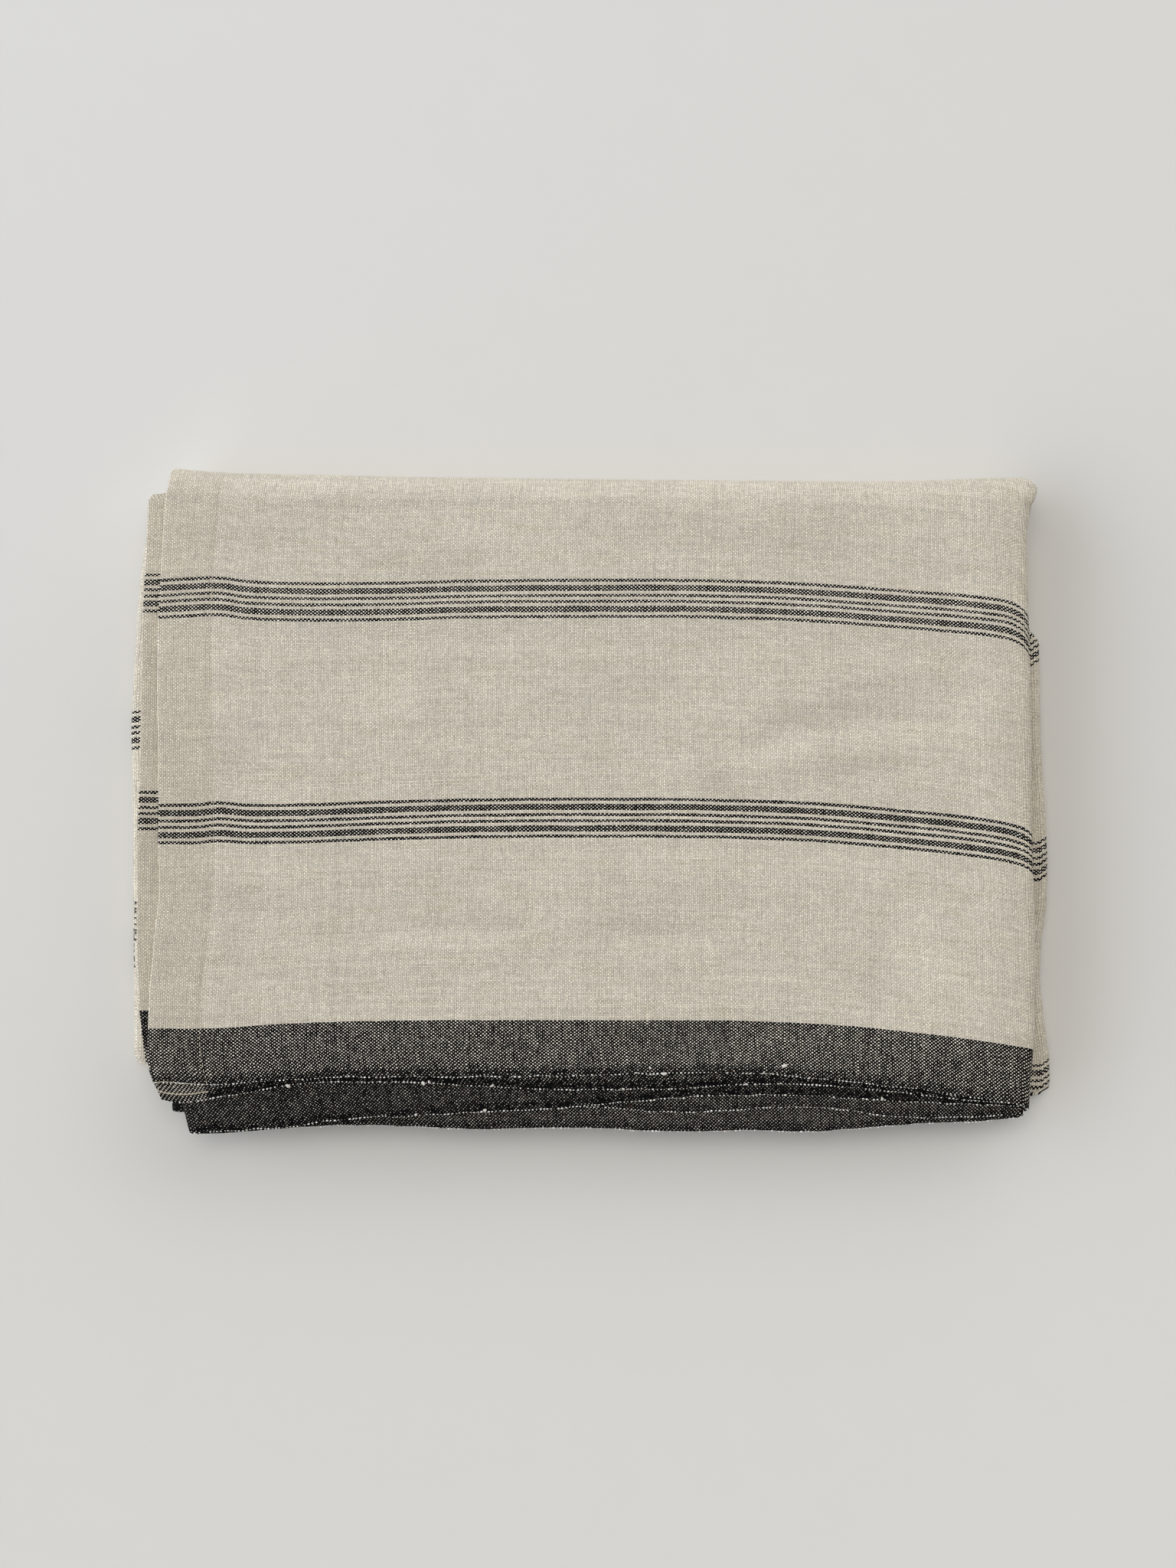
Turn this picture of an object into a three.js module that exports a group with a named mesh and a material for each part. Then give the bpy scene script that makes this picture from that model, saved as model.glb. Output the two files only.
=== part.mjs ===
// Striped linen tablecloth, folded into a rectangular stack and lying flat.
// Units are millimetres, +Z is up, +X runs along the cloth's length and +Y points to the rolled back edge.
//
// The cloth is one sheet. It is folded selvedge to selvedge, then back and forth along its length in
// five panels, and last in half over its back edge. So twenty layers lie on each other, a little apart.
import * as THREE from 'three';
import { mergeVertices } from 'three/addons/utils/BufferGeometryUtils.js';

// Driving sizes
const clothThick = 1.2;
const hemThick = 1.4;
const hemWidth = 29;
const layerPitch = 2.0;
const panelCount = 5;
const panelRun = 500;
const innerGapRadius = 1.1;
const turnReach = 1.5;
const rollAxisY = 167;
const cornerRound = { inset: 14, share: 0.35 };

// Steps of the mesh
const panelSteps = 8;
const turnSteps = 4;
const rollSteps = 6;
const centreFoldSteps = 4;
const topShares = [0, 0.05, 0.1, 0.2, 0.45, 0.7, 1];
const lowShares = [0, 0.3, 0.6, 0.85, 1];

// X of the short hems and of the cross folds, followed from the front of the upper half,
// over the rolled back edge, to the front of the lower half
const hemLines = {
  first: {
    outer: {
      topFront: -248, topMid: -249, topBack: -247, roll: -246, lowBack: -249, lowMid: -252, lowFront: -250,
    },
    inner: {
      topFront: -254, topMid: -260, topBack: -258, roll: -257, lowBack: -257, lowMid: -256, lowFront: -252,
    },
  },
  last: {
    outer: { topFront: 243, topMid: 247, topBack: 249, roll: 250, lowBack: 250, lowMid: 248, lowFront: 245 },
    inner: { topFront: 240, topMid: 246, topBack: 248, roll: 249, lowBack: 249, lowMid: 247, lowFront: 244 },
  },
};
const crossFolds = [
  { topFront: 252, topMid: 256.5, topBack: 260, roll: 262, lowBack: 262, lowMid: 264, lowFront: 260 },
  { topFront: -231, topMid: -252, topBack: -255, roll: -259, lowBack: -265, lowMid: -270, lowFront: -267 },
  { topFront: 250, topMid: 251, topBack: 254, roll: 258, lowBack: 265, lowMid: 268, lowFront: 269 },
  { topFront: -239, topMid: -247, topBack: -250, roll: -253, lowBack: -258, lowMid: -262, lowFront: -258 },
];

// Y of the front edges, a row for each panel, from the left end to the right end
const outerSelvedge = [
  { left: -171, midLeft: -168, middle: -167, midRight: -167.5, right: -184 },
  { left: -199, midLeft: -189.5, middle: -182.5, midRight: -177.5, right: -185 },
  { left: -199, midLeft: -194, middle: -197, midRight: -198, right: -191 },
  { left: -186, midLeft: -188, middle: -190, midRight: -190, right: -191 },
  { left: -186, midLeft: -188, middle: -190, midRight: -190, right: -189 },
];
const innerSelvedge = [
  { left: -182, midLeft: -171, middle: -174, midRight: -172, right: -183 },
  { left: -201, midLeft: -191, middle: -183.7, midRight: -178, right: -183 },
  { left: -201, midLeft: -195.5, middle: -198, midRight: -199, right: -191.5 },
  { left: -187, midLeft: -188.5, middle: -190.5, midRight: -190.5, right: -191 },
  { left: -187, midLeft: -188.5, middle: -190.5, midRight: -190.5, right: -189 },
];
const centreFold = [
  { left: -160, midLeft: -162, middle: -163, midRight: -164, right: -168 },
  { left: -163, midLeft: -166, middle: -168, midRight: -170, right: -174 },
  { left: -165, midLeft: -170, middle: -173, midRight: -175, right: -178 },
  { left: -170, midLeft: -175, middle: -178, midRight: -179, right: -179 },
  { left: -174, midLeft: -179, middle: -181, midRight: -181, right: -180 },
];

// The stack rises a little towards the back and puffs up at its side folds, and its front edges droop
const backRise = { share: 0.02, startY: -200, endY: 180 };
const sidePuff = { share: 0.035, edgeX: 262, reach: 45 };
const frontDroop = { drop: 2.4, startY: -172, endY: -204 };

const halfPitch = layerPitch / 2;
const bundlePitch = 2 * layerPitch;
const outermostRadius = innerGapRadius + (2 * panelCount - 1) * layerPitch;
const rollAxisZ = outermostRadius + clothThick / 2;

const lineKnots = ['topFront', 'topMid', 'topBack', 'roll', 'lowBack', 'lowMid', 'lowFront'];
const edgeKnots = ['left', 'midLeft', 'middle', 'midRight', 'right'];
const topBackKnot = lineKnots.indexOf('topBack');
const lowBackKnot = lineKnots.indexOf('lowBack');
const lowFrontKnot = lineKnots.indexOf('lowFront');

function mix(a, b, share) {
  return a + (b - a) * share;
}

function smooth(share) {
  const s = Math.min(1, Math.max(0, share));
  return s * s * (3 - 2 * s);
}

// Smooth curve through evenly spaced values
function through(values, place) {
  const last = values.length - 1;
  const at = Math.min(last - 1e-9, Math.max(0, place));
  const k = Math.floor(at);
  const t = at - k;
  const p0 = values[Math.max(0, k - 1)];
  const p1 = values[k];
  const p2 = values[k + 1];
  const p3 = values[Math.min(last, k + 2)];
  const bend = 2 * p0 - 5 * p1 + 4 * p2 - p3;
  const twist = 3 * (p1 - p2) + p3 - p0;
  return p1 + 0.5 * t * (p2 - p0 + t * (bend + t * twist));
}

function lineX(line, place) {
  return through(lineKnots.map((knot) => line[knot]), place);
}

function edgeY(row, share) {
  return through(edgeKnots.map((knot) => row[knot]), share * (edgeKnots.length - 1));
}

// Distance of a panel's middle from the roll's axis. Panel 0 is the outermost.
function panelRadius(panel) {
  return innerGapRadius + halfPitch + (panelCount - 1 - panel) * bundlePitch;
}

// Panels run to the right and to the left by turns
function heading(panel) {
  return panel % 2 === 0 ? 1 : -1;
}

// Stations along the cloth's length: hems, flat panels and the turns between them
function lengthStations() {
  const stations = [];
  for (let panel = 0; panel < panelCount; panel += 1) {
    for (let k = 0; k <= panelSteps; k += 1) {
      stations.push({ panel, along: k / panelSteps });
    }
    if (panel < panelCount - 1) {
      for (let k = 1; k < turnSteps; k += 1) {
        stations.push({ panel, turn: (Math.PI * k) / turnSteps });
      }
    }
  }
  const hemShare = hemWidth / panelRun;
  stations[0].hem = true;
  stations[stations.length - 1].hem = true;
  stations.splice(1, 0, { panel: 0, along: hemShare, hem: true });
  stations.splice(stations.length - 1, 0, { panel: panelCount - 1, along: 1 - hemShare, hem: true });
  return stations;
}

// Stations across the cloth's width: the outer half from its selvedge, the centre fold, the inner half
function widthStations() {
  const oneHalf = topShares.map((share) => mix(0, topBackKnot, share));
  for (let k = 1; k < rollSteps; k += 1) {
    oneHalf.push(mix(topBackKnot, lowBackKnot, k / rollSteps));
  }
  lowShares.forEach((share) => oneHalf.push(mix(lowBackKnot, lowFrontKnot, share)));
  const outer = oneHalf.map((place) => ({ half: 'outer', place }));
  const fold = [];
  for (let k = 1; k < centreFoldSteps; k += 1) {
    fold.push({ half: 'fold', place: lowFrontKnot, fold: (Math.PI * k) / centreFoldSteps });
  }
  const inner = [...oneHalf].reverse().map((place) => ({ half: 'inner', place }));
  return [...outer, ...fold, ...inner];
}

// Share of the way from the outer half, 0, to the inner half, 1
function halfShare(width) {
  if (width.half === 'fold') {
    return width.fold / Math.PI;
  }
  return width.half === 'outer' ? 0 : 1;
}

function hemX(hem, width) {
  const outer = lineX(hem.outer, width.place);
  const inner = lineX(hem.inner, width.place);
  return mix(outer, inner, halfShare(width));
}

// X of the start and the end of a panel's flat run, at one place across the width
function panelEnds(panel, width) {
  const turnRun = turnReach * (layerPitch + halfPitch + clothThick / 2);
  const nearCorner = Math.max(0, 1 - (lowFrontKnot - width.place) / cornerRound.share);
  const rounding = cornerRound.inset * nearCorner ** 2;
  const foldCentre = (index) => {
    const outward = heading(index);
    return lineX(crossFolds[index], width.place) - outward * (turnRun + rounding);
  };
  const start = panel === 0 ? hemX(hemLines.first, width) : foldCentre(panel - 1);
  const end = panel === panelCount - 1 ? hemX(hemLines.last, width) : foldCentre(panel);
  return { start, end };
}

function rowAt(table, length) {
  const share = (panel, along) => (heading(panel) > 0 ? along : 1 - along);
  if (length.turn === undefined) {
    return edgeY(table[length.panel], share(length.panel, length.along));
  }
  const here = edgeY(table[length.panel], share(length.panel, 1));
  const next = edgeY(table[length.panel + 1], share(length.panel + 1, 0));
  return mix(here, next, length.turn / Math.PI);
}

function heightScale(x, y) {
  const toBack = smooth((y - backRise.startY) / (backRise.endY - backRise.startY));
  const toSide = smooth(1 - (sidePuff.edgeX - Math.abs(x)) / sidePuff.reach);
  return 1 + backRise.share * toBack + sidePuff.share * toSide;
}

function droop(y, z) {
  const share = smooth((frontDroop.startY - y) / (frontDroop.startY - frontDroop.endY));
  return frontDroop.drop * share * Math.min(1, z / rollAxisZ);
}

// X and distance from the roll's axis, on a panel or on the turn that follows it
function acrossStack(length, width, fromMiddle) {
  const ends = panelEnds(length.panel, width);
  const outward = heading(length.panel);
  const middle = panelRadius(length.panel);
  if (length.turn === undefined) {
    return { x: mix(ends.start, ends.end, length.along), radius: middle + outward * fromMiddle };
  }
  const turnRadius = layerPitch + outward * fromMiddle;
  return {
    x: ends.end + outward * turnReach * turnRadius * Math.sin(length.turn),
    radius: middle - layerPitch + turnRadius * Math.cos(length.turn),
  };
}

// Y and Z along the upper half, round the roll and along the lower half
function alongDepth(length, width, radius, pastFold) {
  if (width.place <= topBackKnot) {
    const selvedgeY = mix(rowAt(outerSelvedge, length), rowAt(innerSelvedge, length), halfShare(width));
    return { y: mix(selvedgeY, rollAxisY, width.place / topBackKnot), z: rollAxisZ + radius };
  }
  if (width.place < lowBackKnot) {
    const rolled = (Math.PI * (width.place - topBackKnot)) / (lowBackKnot - topBackKnot);
    return { y: rollAxisY + radius * Math.sin(rolled), z: rollAxisZ + radius * Math.cos(rolled) };
  }
  const share = (width.place - lowBackKnot) / (lowFrontKnot - lowBackKnot);
  return { y: mix(rollAxisY, rowAt(centreFold, length), share) - pastFold, z: rollAxisZ - radius };
}

// One point of the cloth. side is 1 on the face that looks outwards when folded and -1 on the other,
// where the hem's turned edge makes it thicker.
function clothPoint(length, width, side) {
  const thick = length.hem ? hemThick : clothThick;
  const offset = side > 0 ? clothThick / 2 : clothThick / 2 - thick;
  const foldAngle = Math.PI * halfShare(width);
  const fromMiddle = (halfPitch + offset) * Math.cos(foldAngle);
  const pastFold = (halfPitch + offset) * Math.sin(foldAngle);
  const { x, radius } = acrossStack(length, width, fromMiddle);
  const { y, z } = alongDepth(length, width, radius, pastFold);
  return [x, y, z * heightScale(x, y) - droop(y, z)];
}

// Closed solid of the sheet: its two faces and the four strips along its edges
function clothGeometry() {
  const lengths = lengthStations();
  const widths = widthStations();
  const positions = [];
  [1, -1].forEach((side) => {
    lengths.forEach((length) => {
      widths.forEach((width) => positions.push(...clothPoint(length, width, side)));
    });
  });
  const faceSize = lengths.length * widths.length;
  const vertex = (side, i, j) => (side > 0 ? 0 : faceSize) + i * widths.length + j;
  const indices = [];
  const quad = (a, b, c, d) => indices.push(a, b, c, a, c, d);
  for (let i = 0; i < lengths.length - 1; i += 1) {
    for (let j = 0; j < widths.length - 1; j += 1) {
      quad(vertex(1, i, j), vertex(1, i + 1, j), vertex(1, i + 1, j + 1), vertex(1, i, j + 1));
      quad(vertex(-1, i, j), vertex(-1, i, j + 1), vertex(-1, i + 1, j + 1), vertex(-1, i + 1, j));
    }
  }
  const lastI = lengths.length - 1;
  const lastJ = widths.length - 1;
  for (let i = 0; i < lastI; i += 1) {
    quad(vertex(1, i, 0), vertex(-1, i, 0), vertex(-1, i + 1, 0), vertex(1, i + 1, 0));
    quad(vertex(1, i, lastJ), vertex(1, i + 1, lastJ), vertex(-1, i + 1, lastJ), vertex(-1, i, lastJ));
  }
  for (let j = 0; j < lastJ; j += 1) {
    quad(vertex(1, 0, j), vertex(1, 0, j + 1), vertex(-1, 0, j + 1), vertex(-1, 0, j));
    quad(vertex(1, lastI, j), vertex(-1, lastI, j), vertex(-1, lastI, j + 1), vertex(1, lastI, j + 1));
  }
  const geometry = new THREE.BufferGeometry();
  geometry.setAttribute('position', new THREE.Float32BufferAttribute(positions, 3));
  geometry.setIndex(indices);
  return mergeVertices(geometry, 1e-4);
}

function makeTablecloth() {
  const geometry = clothGeometry();
  geometry.computeVertexNormals();
  geometry.computeBoundingBox();
  const linen = new THREE.MeshStandardMaterial({ color: 0xc4bdad, roughness: 0.95, metalness: 0 });
  const cloth = new THREE.Mesh(geometry, linen);
  cloth.name = 'tablecloth';
  const box = geometry.boundingBox;
  cloth.position.set(-(box.min.x + box.max.x) / 2, -(box.min.y + box.max.y) / 2, -box.min.z);
  return cloth;
}

const tablecloth = new THREE.Group();
tablecloth.add(makeTablecloth());

export default tablecloth;
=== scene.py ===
"""Striped linen tablecloth, folded into a flat stack of twenty layers, on a pale floor."""

import itertools
import math

import bmesh
import bpy
import numpy as np
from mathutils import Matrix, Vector


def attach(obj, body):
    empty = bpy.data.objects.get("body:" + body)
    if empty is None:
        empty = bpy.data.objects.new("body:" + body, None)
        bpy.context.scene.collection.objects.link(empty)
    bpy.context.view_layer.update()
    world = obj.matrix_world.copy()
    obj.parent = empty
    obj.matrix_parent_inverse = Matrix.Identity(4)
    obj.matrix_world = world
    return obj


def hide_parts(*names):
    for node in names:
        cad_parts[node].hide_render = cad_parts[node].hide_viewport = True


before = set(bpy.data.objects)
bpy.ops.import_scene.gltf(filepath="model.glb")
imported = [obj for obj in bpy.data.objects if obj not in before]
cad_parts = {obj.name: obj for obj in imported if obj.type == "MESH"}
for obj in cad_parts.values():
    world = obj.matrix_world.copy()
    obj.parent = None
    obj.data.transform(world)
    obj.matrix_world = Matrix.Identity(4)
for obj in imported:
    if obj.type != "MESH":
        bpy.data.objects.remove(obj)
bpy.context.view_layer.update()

# Lengths are millimetres until a mesh is made. The tables have an origin of their own, which stands
# here in the part's frame.
MM = 0.001
TABLES_ORIGIN = (0.66, 7.15, 0.0)

# Sizes of the sheet and of its stack
CLOTH_THICK = 1.2
HEM_THICK = 1.6
LAYER_PITCH = 2.0
HALF_PITCH = LAYER_PITCH / 2
PANELS = 5
PANEL_RUN = 500.0
CLOTH_WIDTH = 1450.0
CLOTH_LENGTH = PANELS * PANEL_RUN
INNER_GAP_RADIUS = 1.1
ROLL_AXIS_Y = 167.0
ROLL_AXIS_Z = INNER_GAP_RADIUS + (2 * PANELS - 1) * LAYER_PITCH + CLOTH_THICK / 2
TOP_Z = 40.0

# A cross fold stands out by this share of its radius, and takes up this much cloth on its outer and on
# its inner layer
TURN_REACH = 1.5
OUTER_TURN_RUN = 12.0
INNER_TURN_RUN = 4.0

# Places across the cloth: 0 is the front edge of the upper half, 2 the back, 4 the back of the
# lower half under the roll, and 6 the middle fold at the front of the lower half
FRONT, BACK, LOW_BACK, LOW_FRONT = 0.0, 2.0, 4.0, 6.0
# Cloth from a front edge to the roll, round the roll, and from there to the middle fold
UPPER_RUN = 336.0
ROLL_RUN = 60.0
LOWER_RUN = 330.0
# Near a front edge the cloth keeps its rows' distances from that edge
EDGE_ROWS = 45.0

# Stations of the mesh: along a hem and in from a front edge in millimetres, and as places across the cloth
HEM_STATIONS = [0, 0.25, 0.7, 1.5, 4, 8, 13, 18, 22.5, 25.5, 27.4, 28.1, 28.6, 29.1, 29.7, 30.3, 30.9, 31.6,
                32.6, 34, 37, 41, 45]
PANEL_STATIONS = [58, 58, 29]
EDGE_STATIONS = [0, 0.25, 0.7, 1.5, 3, 5, 8, 12, 16, 21, 27]
HIDDEN_STATIONS = [0, 0.25, 0.7, 1.5, 3, 5, 8, 12, 18, 27, 45, 80, 130, 190, 260, 320, 333, UPPER_RUN]
ROLL_PLACES = [2.025, 2.055, 2.1]
LOW_PLACES = [LOW_BACK, 4.08, 4.13, 4.24, 4.36, 4.4, 4.45, 4.6, 4.8, 5.0, 5.2, 5.36, 5.48, 5.62, 5.75, 5.87,
              5.93, 5.96, 5.985, LOW_FRONT]
ROLL_STEPS = 12
TURN_STEPS = 6

# The stack rises towards the back and puffs up at its side folds. Its front edges droop, and its top
# rounds down towards the first cross fold.
BACK_RISE = {"share": 0.02, "from_y": -200, "run": 380}
SIDE_PUFF = {"share": 0.035, "edge_x": 262, "reach": 45}
FRONT_DROOPS = [{"drop": 2.4, "from_y": -172, "run": 32}, {"drop": 0.9, "from_y": -160, "run": 9}]
FOLD_DROP = {"drop": 3.2, "from_x": 226, "run": 38}

# Unevenness of the laid cloth: the height of its humps and their size along X, Y and Z
TOP_HUMPS = [
    {"seed": 11, "height": 0.5, "long": 95, "deep": 80},
    {"seed": 12, "height": 0.28, "long": 34, "deep": 30},
    {"seed": 13, "height": 0.1, "long": 13, "deep": 11},
]
LAYER_HUMPS = {"seed": 14, "height": 0.24, "long": 48, "deep": 40, "high": 3.2}
# Waves of the front edges: how far they reach, how long they are and how fast they change with the layers
EDGE_WAVES = [
    {"seed": 22, "reach": 0.45, "long": 9, "layer": 5.3},
    {"seed": 23, "reach": 0.25, "long": 3.4, "layer": 7.7},
]

# Weave: the warp yarns run along the cloth's length, the weft yarns across it
WARP_PITCH = 0.9307
WEFT_PITCH = 1.10
WARP_YARNS = round(CLOTH_WIDTH / WARP_PITCH)
BORDER_YARNS = 34
# Stripe groups in warp yarns: the first one's middle, the step to the next, and the plain yarns before them
GROUP_START = 158
GROUP_STEP = 138
PLAIN_YARNS = 100.0
# Dark bands on both sides of a group's middle: the middle of each and half its width, in yarns
GROUP_BANDS = [(2.0, 1.0), (7.0, 2.0), (12.0, 1.0)]

# Stitches of a hem: their pitch and distance from the cloth's end, and how much that changes from one
# place across the cloth to another, as they are sewn by eye
STITCH_PITCH = 3.1
STITCH_INSET = 28.6
STITCH_DRIFTS = [
    {"by": 1.8, "from": 0.25, "to": 0.0},
    {"by": 2.8, "from": 0.25, "to": 0.85},
    {"by": -1.4, "from": 1.0, "to": 1.6},
]
# The doubled cloth ends a little beyond the stitches, in a soft step, and the stitches lie in a groove
HEM_STEP = {"beyond": 1.9, "run": 1.6}
STITCH_GROOVE = {"depth": 0.28, "half": 0.7}
# On the first hem's inner half the thread that closes the hem lies this far in from the edge
HEM_LIP = 4.0

# Small steps along the cloth and across it, with which the directions on its face are found
LENGTH_STEP = 0.8
PLACE_STEP = 0.006

# X of the short hems and of the cross folds, against the place across the cloth
FIRST_HEM_OUTER = [(0, -247.4), (0.04, -249.3), (0.24, -250.8), (0.45, -249), (0.55, -247.4),
                   (0.92, -247.6), (1.42, -249.8), (1.74, -249.5), (2, -247), (2.2, -246), (2.5, -245.6),
                   (3, -245), (4, -248), (5, -252), (6, -250)]
FIRST_HEM_INNER = [(0, -243), (0.06, -248.6), (0.11, -252.2), (0.19, -254.5), (0.27, -256.3),
                   (0.6, -259.4), (1.03, -259.2), (1.36, -259.7), (1.78, -258.6), (1.95, -257.4),
                   (1.99, -257), (2.04, -247.5), (2.1, -244.6), (2.4, -244), (3, -243), (4, -245),
                   (5, -250), (6, -250)]
LAST_HEM_OUTER = [(0, 243), (1, 247), (2, 249), (3, 250), (4, 250), (5, 248), (6, 245)]
LAST_HEM_INNER = [(0, 240), (1, 246), (2, 248), (3, 249), (4, 249), (5, 247), (6, 244)]
CROSS_FOLDS = [
    [(0, 251.6), (0.1, 252.8), (0.2, 254.8), (0.4, 256.8), (0.9, 256.6), (1.24, 257.3), (1.62, 257.4),
     (1.82, 257.2), (1.92, 257.8), (1.98, 259.6), (2.05, 261.2), (2.2, 262.8), (2.45, 264.4),
     (2.7, 262.8), (3, 259), (3.5, 256), (4, 255), (4.3, 255), (4.37, 256), (4.43, 262), (4.6, 263),
     (5, 263), (6, 262)],
    [(0, -227.8), (0.1, -232.5), (0.3, -238), (1, -252), (1.8, -254), (1.98, -252), (2.06, -245),
     (3, -243), (3.8, -248), (4.09, -256), (4.13, -264.4), (4.24, -266.4), (4.47, -268.4), (4.85, -270),
     (5.04, -268.4), (5.3, -267.4), (5.59, -266), (5.84, -264.6), (6, -264.6)],
    [(0, 249.5), (1, 251), (2, 253), (3, 252), (4, 253), (4.37, 255), (4.43, 265.5), (4.49, 268),
     (4.7, 265), (4.83, 267), (5.1, 268.6), (5.36, 268.2), (5.48, 264.8), (5.72, 264.2), (5.82, 266.8),
     (5.92, 267.6), (6, 267.6)],
    [(0, -239), (1, -247), (1.9, -247), (2.1, -243), (3, -243), (4, -247), (4.3, -256), (5, -262),
     (5.8, -259), (6, -250)],
]
# How far each cross fold's front corner is drawn in, and over how much of the place across the cloth
CORNER_ROUNDS = [(12, 0.1), (9, 0.055), (5, 0.03), (12, 0.1)]
# X of the first cross fold if it ran straight along the weft
FIRST_FOLD_X = 257

# Y of the front edges and of the middle fold against X, a row for each panel
OUTER_EDGE = [
    [(-250, -171.3), (-234, -171), (-220, -172.6), (-207, -172), (-175, -169.9), (-131, -167.8),
     (-79, -167.9), (3, -166.8), (65, -165.5), (101, -166.2), (142, -170.1), (184, -174.3),
     (226, -180.6), (256, -185)],
    [(-235, -199.5), (-152, -192), (-100, -188.5), (-20, -184), (58, -187.7), (103, -185.5),
     (137, -185.4), (176, -190.4), (216, -190.4), (256, -188)],
    [(-235, -201.2), (-205, -199.9), (-183, -198), (-142, -195.3), (-123, -195.4), (-75, -197.2),
     (8, -197.3), (50, -199.2), (94, -198.3), (126, -199), (160, -196.8), (191, -194.3), (217, -193.2),
     (256, -190.4)],
    [(-240, -187), (-120, -188), (0, -190), (130, -190), (256, -189.5)],
    [(-240, -186), (-120, -187), (0, -189), (130, -189), (256, -187)],
]
INNER_EDGE = [
    [(-256, -177.6), (-247, -179.6), (-240, -181.4), (-222, -181.6), (-214, -180.2), (-203, -178.4),
     (-188, -175.6), (-170, -172.2), (-152, -170.8), (-122, -170.7), (-71, -172.5), (-30, -174.7),
     (20, -175), (65, -173.8), (90, -172.2), (112, -171.8), (158, -174.4), (200, -179.5), (256, -184)],
    [(-235, -200.4), (-190, -197.6), (-164, -195.5), (-150, -193), (-132, -191.1), (-100, -190),
     (-71, -188), (-46, -187.2), (-11, -185.1), (20, -182.2), (53, -179.4), (80, -178.5), (131, -178.7),
     (170, -181.2), (216, -183.2), (256, -185)],
    [(-235, -200.5), (-183, -197), (-123, -194.6), (8, -196.5), (94, -197.5), (160, -196), (217, -192.5),
     (256, -190.2)],
]
# The two lowest panels' inner edges lie just past their outer ones
INNER_EDGE += [[(x, y - 0.5) for x, y in row] for row in OUTER_EDGE[3:]]
MIDDLE_FOLD = [
    [(-260, -160), (-125, -162), (0, -163), (125, -164), (260, -167)],
    [(-260, -161.8), (-125, -166), (0, -168), (125, -170), (260, -172.4)],
    [(-260, -162), (-125, -170), (0, -173), (125, -175), (260, -176)],
    [(-260, -162.6), (-200, -170), (-125, -175), (0, -178), (125, -179), (260, -177)],
    [(-260, -164.6), (-200, -172.4), (-125, -179), (0, -181), (125, -181), (260, -178)],
]
# How far the roll's axis lies behind its plain line, against X
BACK_SHIFT = [(-262, 3.8), (-246, 3.8), (-236, 3.0), (-222, 1.8), (-190, 0.9), (-121, -0.6), (60, -2.8),
              (195, -3.2), (237, -1.8), (268, -1.2)]

# Weave rows on the top panel: a distance across the flat cloth, and the Y of that row against X.
# They are the border's inner edge and the middles of two stripe groups.
TOP_ROWS = [
    (31.7, [(-250, -139.9), (-213, -139.9), (-181, -137.6), (-117, -135.6), (0, -135.3), (94, -135.9),
            (137, -137.8), (179, -141.3), (221, -146.4), (244, -150), (252, -151.4), (257, -152.8)]),
    (147.0, [(-250, -23.5), (-236, -23.6), (-228, -23.4), (-221, -22.9), (-217.5, -22.4),
             (-213.5, -22.1), (-208, -22.3), (-204, -22.7), (-198, -23.2), (-181, -23.3), (-117, -21.3),
             (-75, -20.2), (0, -19.5), (73, -20.1), (137, -22.6), (179, -26.3), (221, -30.7),
             (235, -32.8), (246, -35.2), (251, -36.8), (254.5, -38.8), (257.5, -41.5)]),
    (275.4, [(-250, 108.5), (-234, 109.5), (-218, 110.2), (-210, 109.7), (-202, 108.3), (-194, 107.7),
             (-181, 107.2), (-117, 107.1), (-75, 108.3), (0, 108.9), (73, 108.6), (137, 105.9),
             (179, 102.8), (221, 99.4), (232, 98.1), (244, 96.2), (250.6, 93.8), (254.5, 90.6),
             (257.5, 86)]),
]
# The same rows on the strip of the inner half that shows at the left: Y and distance across the cloth
STRIP_ROWS = [(-163.0, 0.0), (-129.6, 31.7), (-15.3, 147.0), (112.2, 275.4), (300, 463.2)]
# Y of that strip's front end and X of its right edge
STRIP_FRONT_Y = -171
STRIP_RIGHT_X = -240
# How far the middle fold lies from the cloth's middle, against the place along the cloth
MIDDLE_SHIFT = [(0, 0), (500, 0), (1000, -4.9), (1500, -59), (2000, -22), (2500, 0)]
# How much further back the rows lie for each millimetre beyond this X in the lower half
MIDDLE_SLANT = 0.6
MIDDLE_SLANT_FROM = 262.0

# Creases on the top panel: the height and half width of each, and the points it runs through
TOP_CREASES = [
    (-1.65, 5.5, [(86, 17), (102, 25), (115, 36), (147, 42), (174, 41), (208, 37)]),
    (0.975, 6, [(58, 8), (82, 14), (103, 18.5), (125, 22), (150, 25), (185, 26), (225, 29)]),
    (-0.9, 5.5, [(126, 8), (150, 9), (172, 11), (195, 14)]),
    (-1.05, 7, [(66, 4), (75, 2), (84, 1)]),
    (-0.6, 6, [(150, 58), (180, 56), (212, 55)]),
    (-1.2, 4.5, [(-120, -79), (-92, -80.5), (-60, -80.5), (-32, -79)]),
    (0.825, 7, [(-110, -91), (-70, -92), (-25, -90)]),
    (-1.2, 4.5, [(2, -80), (20, -81.5), (45, -84.5), (74, -86)]),
    (0.825, 7, [(10, -93), (45, -96), (80, -97)]),
    (1.05, 19, [(196, -86), (203, -110), (204, -142)]),
    (-0.75, 6, [(170, -78), (165, -108), (162, -139)]),
    (-0.75, 8, [(-212, 30), (-205, 8), (-214, -4)]),
    (-0.6, 9, [(-205, -60), (-200, -90), (-212, -112)]),
    (0.6, 8, [(-150, 52), (-120, 44), (-88, 47)]),
    (-0.525, 7, [(-40, 60), (-10, 52), (26, 55), (60, 62)]),
    (0.525, 9, [(-120, 140), (-60, 146), (10, 143)]),
    (-0.525, 7, [(80, 142), (120, 137), (170, 139)]),
]

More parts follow.
